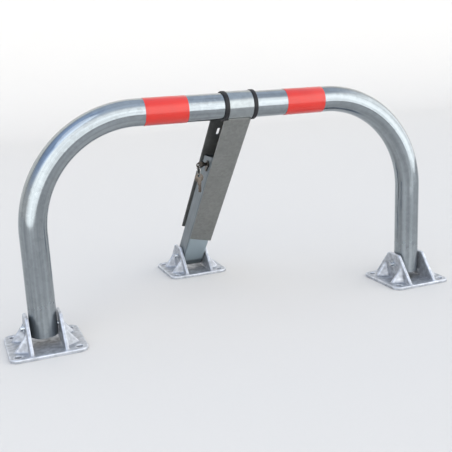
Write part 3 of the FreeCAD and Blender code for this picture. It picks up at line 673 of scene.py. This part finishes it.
class BARRIER_OT_strut(bpy.types.Operator):
    """Make the strut's collar, channel and weld beads"""
    bl_idname = "barrier.strut"
    bl_label = "Collar and channel"

    def execute(self, context):
        sizes = context.scene.barrier_strut
        outer = (COLLAR_HIGH.z - COLLAR_LOW.z) / 2
        inner = context.scene.barrier_arch.tube_diameter / 2 + RUNNING_GAP
        collar = hoop("collar", (COLLAR_LOW.x, COLLAR_HIGH.x), (inner, outer), COLLAR_CENTRE, (0.3 * MM, 0.6 * MM))
        settle(collar, "worn_sleeve", "collar_sleeve", "collar_sleeve")
        cad_copy("strut_channel", "galvanised_sheet", sizes.cut_edge, "channel")
        self.weld(sizes, outer)
        return {"FINISHED"}

    def weld(self, sizes, collar_radius):
        """A bead along each flange, and one round the lower side of the collar at its right end."""
        left, right, end = COLLAR_LOW.x + 2 * MM, COLLAR_HIGH.x - 7 * MM, COLLAR_HIGH.x - 3.4 * MM
        sunk, ripple, step = 0.2 * sizes.bead_width, 0.08, 0.4 * MM
        reach = collar_radius + sizes.bead_width / 2 - sunk
        lines = [[(x, side * sizes.bead_offset, -sizes.bead_drop) for x in (left, right)] for side in (-1, 1)]
        lines.append([(end, reach * math.cos(turn), reach * math.sin(turn))
                      for turn in spread(math.radians(-152), math.radians(-28), 30)])
        place = strut_place(COLLAR_CENTRE)
        lines = [[place @ Vector(point) for point in line] for line in lines]
        look = "galvanised_sheet"
        beads = swept_wire("weld_beads", lines, look, sizes.bead_width / 2, step, ripple, sizes.bead_pitch)
        settle(beads, look, "strut_channel")


class BARRIER_OT_inner_tube(bpy.types.Operator):
    """Make the strut's inner tube with its bolt guide and screw"""
    bl_idname = "barrier.inner_tube"
    bl_label = "Inner tube"

    def execute(self, context):
        edge = context.scene.barrier_strut.cut_edge
        cad_copy("inner_tube", "passivated_zinc", edge)
        cad_copy("bolt_guide", "galvanised_sheet", edge)
        cad_copy("cylinder_screw", "plated_steel", edge / 2)
        return {"FINISHED"}


class BARRIER_OT_feet(bpy.types.Operator):
    """Cast the three feet"""
    bl_idname = "barrier.feet"
    bl_label = "Cast feet"

    def execute(self, context):
        sizes = context.scene.barrier_feet
        for node in FEET:
            foot = mesh_piece("cast_" + node, frame["nodes"][node].data)
            sand = foot.modifiers.new("Casting", "REMESH")
            sand.mode = "VOXEL"
            sand.voxel_size = sizes.grain
            soften = foot.modifiers.new("Softening", "SMOOTH")
            soften.factor = 0.5
            soften.iterations = sizes.softening
            bake(foot)
            self.rub(foot.data)
            foot.data.shade_smooth()
            settle(foot, "cast_aluminium", node, node)
        return {"FINISHED"}

    def rub(self, mesh, gain=4, rounds=2):
        """Mark how far each point stands out from its neighbours, as the share of rubbing it gets, then even it."""
        shell = bmesh.new()
        shell.from_mesh(mesh)
        shell.normal_update()
        shares, neighbours = [], []
        for point in shell.verts:
            others = [edge.other_vert(point) for edge in point.link_edges]
            drop = -sum(point.normal.dot((other.co - point.co).normalized()) for other in others)
            shares.append(max(0.0, min(1.0, gain * drop / max(1, len(others)))))
            neighbours.append([other.index for other in others])
        for _ in range(rounds):
            shares = [(shares[i] + sum(shares[j] for j in near)) / (1 + len(near))
                      for i, near in enumerate(neighbours)]
        shell.free()
        mesh.attributes.new("wear_and_painted_light", "FLOAT", "POINT").data.foreach_set("value", shares)


class BARRIER_OT_hinges(bpy.types.Operator):
    """Turn the hinge pins and washers and bend the split pins"""
    bl_idname = "barrier.hinges"
    bl_label = "Hinge pins"

    def execute(self, context):
        sizes = context.scene.barrier_feet
        radius, sides = sizes.pin_diameter / 2, 64
        tail_round, head_round, crown, edge = 0.8 * MM, 0.3 * MM, 1.4 * MM, 0.3 * MM
        washer_radii = radius + RUNNING_GAP, (WASHER_HIGH.z - WASHER_LOW.z) / 2
        lines, washers = [], []
        for node in FEET:
            node = node.replace("foot", "hinge_pin")
            low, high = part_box(node)
            centre, head = (low + high) / 2, (high.z - low.z) / 2
            neck, seat = high.x - sizes.pin_head, low.x + sizes.pin_tail
            section = rounded([(low.x, 0, 0), (low.x, radius, tail_round), (neck, radius, 0),
                               (neck, head, head_round), (high.x, head, crown), (high.x, 0, 0)])
            pin = lathe(node + "_turned", section, centre, closed=False, sides=sides)
            settle(pin, "plated_steel", node, node)
            washers.append(hoop("washer", (seat, seat + sizes.washer), washer_radii, centre, (edge, edge), 3, sides))
            lines.append(self.split_line(sizes, Vector((seat - SPLIT_PIN_INSET, centre.y, centre.z))))
        settle(self.join("washers", washers), "plated_steel", "pin_washers", "pin_washers")
        split = swept_wire("split_pins_bent", lines, "plated_steel", sizes.split_wire / 2, step=0.35 * MM)
        settle(split, "plated_steel", "split_pins", "split_pins")
        return {"FINISHED"}

    def join(self, name, parts):
        """Several pieces as one."""
        shell = bmesh.new()
        for part in parts:
            shell.from_mesh(part.data)
            bpy.data.objects.remove(part)
        mesh = bpy.data.meshes.new(name)
        shell.to_mesh(mesh)
        shell.free()
        piece = bpy.data.objects.new(name, mesh)
        bpy.context.scene.collection.objects.link(piece)
        return smooth(piece)

    def split_line(self, sizes, centre):
        """One wire doubled over: a leg, the shank, round the eye, and back to the other leg."""
        half, wire, eye = sizes.split_length / 2, sizes.split_wire / 2, sizes.split_eye / 2
        leg, splay = 6.5 * MM, math.radians(50)
        start = math.asin(wire / eye)
        middle = -half - eye * (1 - math.cos(start)) - eye
        loop = [(middle + eye * math.cos(turn), eye * math.sin(turn))
                for turn in spread(start, math.tau - start, 40)]
        side = [(half + leg * math.cos(splay), wire + leg * math.sin(splay)), (half, wire)]
        path = side + loop + [(y, -z) for y, z in reversed(side)]
        return [centre + Vector((0, y, z)) for y, z in path]


class BARRIER_OT_lock(bpy.types.Operator):
    """Dress the lock cylinder, its plug, cam and bolt"""
    bl_idname = "barrier.lock"
    bl_label = "Lock"

    def execute(self, context):
        for node, look in (("lock_cylinder", "nickel_brass"), ("lock_plug", "nickel_brass"),
                           ("lock_cam", "plated_steel"), ("lock_bolt", "plated_steel")):
            cad_copy(node, look, LOCK_EDGE)
        return {"FINISHED"}


class BARRIER_OT_keys(bpy.types.Operator):
    """Cut the two keys and coil the ring that joins them"""
    bl_idname = "barrier.keys"
    bl_label = "Keys and ring"

    def execute(self, context):
        sizes = context.scene.barrier_lock
        bow = KEY_HOLE_POINT.x + sizes.bow_hole_offset - PLUG_POINT.x
        in_lock = strut_place(PLUG_POINT) @ Matrix.Translation((bow, 0, 0))
        _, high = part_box("spare_key")
        hung = Matrix.Translation((KEY_HOLE_POINT.x, KEY_HOLE_POINT.y, high.z - sizes.bow_diameter / 2))
        hanging = hung @ Matrix.Rotation(math.pi / 2, 4, "Y")
        for name, node, place in (("key_in_lock", "lock_key", in_lock), ("key_spare", "spare_key", hanging)):
            settle(self.key(sizes, name, place), "nickel_brass", node, node)
        self.ring(sizes)
        return {"FINISHED"}

    def outlines(self, sizes):
        """The key's outline and the hole in its bow, along X with the middle of the bow at the origin."""
        bow, hole = sizes.bow_diameter / 2, sizes.bow_hole / 2
        neck, blade, corner, point = 5 * MM, 4 * MM, 1.5 * MM, 2.5 * MM
        shoulder, tip = bow + 5 * MM, bow + 25 * MM
        pitch, flat, mouth, depths = 3 * MM, 0.4 * MM, 1.3 * MM, (1.4, 2.2, 0.9, 1.8, 1.2)
        start = math.asin(neck / bow)
        outline = [(bow * math.cos(turn), bow * math.sin(turn)) for turn in spread(start, math.tau - start, 64)]
        outline += [(shoulder, -neck), (shoulder, -blade)]
        for i, depth in enumerate(depths):
            x, floor = shoulder + pitch * (i + 1), depth * MM - blade
            outline += [(x - mouth, -blade), (x - flat, floor), (x + flat, floor), (x + mouth, -blade)]
        outline += [(tip - corner, -blade), (tip, point - blade), (tip, blade - corner), (tip - corner, blade),
                    (shoulder, blade), (shoulder, neck)]
        ring = [(hole * math.cos(turn) - sizes.bow_hole_offset, hole * math.sin(turn))
                for turn in spread(0, math.tau, 40)[:-1]]
        return outline, ring

    def key(self, sizes, name, place):
        """A key cut from flat stock with softened edges, then put in its place."""
        edge = 0.3 * MM
        drawing = bpy.data.curves.new(name, "CURVE")
        drawing.dimensions = "2D"
        drawing.fill_mode = "BOTH"
        drawing.bevel_depth = edge
        drawing.bevel_resolution = 2
        drawing.offset = -edge
        drawing.extrude = sizes.key_thickness / 2 - edge
        for outline in self.outlines(sizes):
            spline = drawing.splines.new("POLY")
            spline.points.add(len(outline) - 1)
            for point, (x, y) in zip(spline.points, outline):
                point.co = (x, y, 0, 1)
            spline.use_cyclic_u = True
        flat = bpy.data.objects.new(name + "_drawing", drawing)
        bpy.context.scene.collection.objects.link(flat)
        depsgraph = bpy.context.evaluated_depsgraph_get()
        mesh = bpy.data.meshes.new_from_object(flat.evaluated_get(depsgraph))
        bpy.data.objects.remove(flat)
        mesh.transform(place @ Matrix.Rotation(math.pi / 2, 4, "X"))
        return smooth(mesh_piece(name, mesh))

    def ring(self, sizes):
        """The split ring: two touching turns of wire."""
        turns, radius = 2, sizes.ring_radius
        centre = KEY_HOLE_POINT - Vector((0, 0, radius))
        helix = []
        for share in spread(0, 1, 160):
            along, turn = (share - 0.5) * sizes.ring_wire, turns * math.tau * share
            helix.append(centre + Vector((along, radius * math.cos(turn), radius * math.sin(turn))))
        wire = swept_wire("split_ring", [helix], "spring_steel", sizes.ring_wire / 2, step=0.6 * MM, sides=12)
        settle(wire, "spring_steel", "key_ring", "key_ring")


class BARRIER_OT_stage(bpy.types.Operator):
    """Set the floor, the studio light and the camera"""
    bl_idname = "barrier.stage"
    bl_label = "Stage"

    def execute(self, context):
        scene, stage = context.scene, context.scene.barrier_stage
        scene.view_settings.view_transform = "Standard"
        self.floor()
        self.light(scene, stage)
        self.camera(scene, stage)
        return {"FINISHED"}

    def floor(self):
        """A pale floor that ends below the camera and sweeps up into a backdrop far behind the barrier."""
        front, sweep, radius, top, reach, drop = -1.7, 4.0, 2.5, 9.0, 14, 0.1 * MM
        line = [(front, 0.0), (sweep, 0.0)]
        line += [(sweep + radius * math.sin(turn), radius * (1 - math.cos(turn)))
                 for turn in spread(0, math.pi / 2, 24)[1:]] + [(sweep + radius, top)]
        points = [(x, y, z - drop) for y, z in line for x in (-reach, reach)]
        faces = [(2 * i, 2 * i + 1, 2 * i + 3, 2 * i + 2) for i in range(len(line) - 1)]
        floor = new_piece("floor", points, faces)
        floor.data.shade_smooth()
        floor.data.materials.append(finish("studio_floor"))

    def light(self, scene, stage):
        """A pale dome, blue overhead and most to the left, a broad soft glow low in front, and a weak softbox."""
        glow_way, blue_way = (0.35, -0.94, 0.0), (-0.62, -0.1, 0.78)
        white, pale_blue, deep_blue = linear("#FFFFFF"), linear("#DCE7F8"), linear("#B9D0F6")
        world = bpy.data.worlds.new("Studio dome")
        world.use_nodes = True
        scene.world = world
        tree = world.node_tree
        way = add(tree, "ShaderNodeTexCoord").outputs["Generated"]
        rise = add(tree, "ShaderNodeSeparateXYZ", {0: way}).outputs["Z"]
        facing = add(tree, "ShaderNodeVectorMath", {0: way, 1: glow_way}, operation="DOT_PRODUCT")
        side = add(tree, "ShaderNodeVectorMath", {0: way, 1: blue_way}, operation="DOT_PRODUCT")
        front, low, height, left = [add(tree, "ShaderNodeMapRange", {
            "Value": value, "From Min": start, "From Max": end, "To Min": first, "To Max": last},
            interpolation_type="SMOOTHSTEP") for value, start, end, first, last in (
                (facing.outputs["Value"], -0.35, 0.55, 0.0, 1.0), (rise, 0.5, 0.86, 1.0, 0.0),
                (rise, 0.55, 0.9, 0.0, 1.0), (side.outputs["Value"], 0.72, 0.99, 0.0, 1.0))]
        both = add(tree, "ShaderNodeMath", {0: front, 1: low}, operation="MULTIPLY")
        dome = add(tree, "ShaderNodeMath", {0: height, 1: stage.overhead, 2: stage.sky}, operation="MULTIPLY_ADD")
        level = add(tree, "ShaderNodeMath", {0: both, 1: stage.front_glow, 2: dome}, operation="MULTIPLY_ADD")
        tint = add(tree, "ShaderNodeMix", {0: height, 6: white, 7: pale_blue}, data_type="RGBA")
        blue = add(tree, "ShaderNodeMix", {0: left, 6: tint.outputs[2], 7: deep_blue}, data_type="RGBA")
        glow = tree.nodes["Background"]
        tree.links.new(blue.outputs[2], glow.inputs["Color"])
        tree.links.new(level.outputs[0], glow.inputs["Strength"])
        lamp = bpy.data.lights.new("Softbox", "AREA")
        lamp.shape = "DISK"
        lamp.size = 1.4
        lamp.energy = 5
        softbox = bpy.data.objects.new("Softbox", lamp)
        place, aim = Vector((-1.3, -1.2, 2.4)), Vector((0, 0, 0.2))
        turn = (place - aim).to_track_quat("Z", "Y")
        softbox.matrix_world = Matrix.Translation(place) @ turn.to_matrix().to_4x4()
        scene.collection.objects.link(softbox)

    def camera(self, scene, stage):
        """The camera at the angle of the photograph."""
        yaw, pitch, roll = stage.camera_yaw, stage.camera_pitch, stage.camera_roll
        forward = Vector((math.sin(yaw) * math.cos(pitch), math.cos(yaw) * math.cos(pitch), -math.sin(pitch)))
        right = Vector((math.cos(yaw), -math.sin(yaw), 0))
        down = forward.cross(right)
        across = math.cos(roll) * right + math.sin(roll) * down
        below = math.cos(roll) * down - math.sin(roll) * right
        lens = bpy.data.cameras.new("Camera")
        lens.sensor_width = 36
        lens.lens = stage.lens
        camera = bpy.data.objects.new("Camera", lens)
        turn = Matrix((across, -below, -forward)).transposed()
        camera.matrix_world = Matrix.Translation(stage.camera_place) @ turn.to_4x4()
        scene.collection.objects.link(camera)
        scene.camera = camera


class BARRIER_PT_panel(bpy.types.Panel):
    """Lists the barrier's pieces in the order they are made"""
    bl_idname = "BARRIER_PT_panel"
    bl_label = "Folding parking barrier"
    bl_space_type = "VIEW_3D"
    bl_region_type = "UI"
    bl_category = "Barrier"

    def draw(self, context):
        for operator in OPERATORS:
            self.layout.operator(operator.bl_idname)


GROUPS = {"barrier_arch": BarrierArch, "barrier_strut": BarrierStrut, "barrier_feet": BarrierFeet,
          "barrier_lock": BarrierLock, "barrier_finish": BarrierFinish, "barrier_stage": BarrierStage}
OPERATORS = (BARRIER_OT_arch_tube, BARRIER_OT_arch_fittings, BARRIER_OT_strut, BARRIER_OT_inner_tube,
             BARRIER_OT_feet, BARRIER_OT_hinges, BARRIER_OT_lock, BARRIER_OT_keys, BARRIER_OT_stage)


def register():
    """Register the classes and hang the settings on the scene."""
    for one in tuple(GROUPS.values()) + OPERATORS + (BARRIER_PT_panel,):
        bpy.utils.register_class(one)
    for name, group in GROUPS.items():
        setattr(bpy.types.Scene, name, PointerProperty(type=group))


def unregister():
    """Undo what register did."""
    for name in GROUPS:
        delattr(bpy.types.Scene, name)
    for one in (BARRIER_PT_panel,) + OPERATORS[::-1] + tuple(GROUPS.values()):
        bpy.utils.unregister_class(one)


def main():
    """Register the classes and make every piece in order."""
    register()
    for operator in OPERATORS:
        group, name = operator.bl_idname.split(".")
        getattr(getattr(bpy.ops, group), name)()


if __name__ == "__main__":
    main()
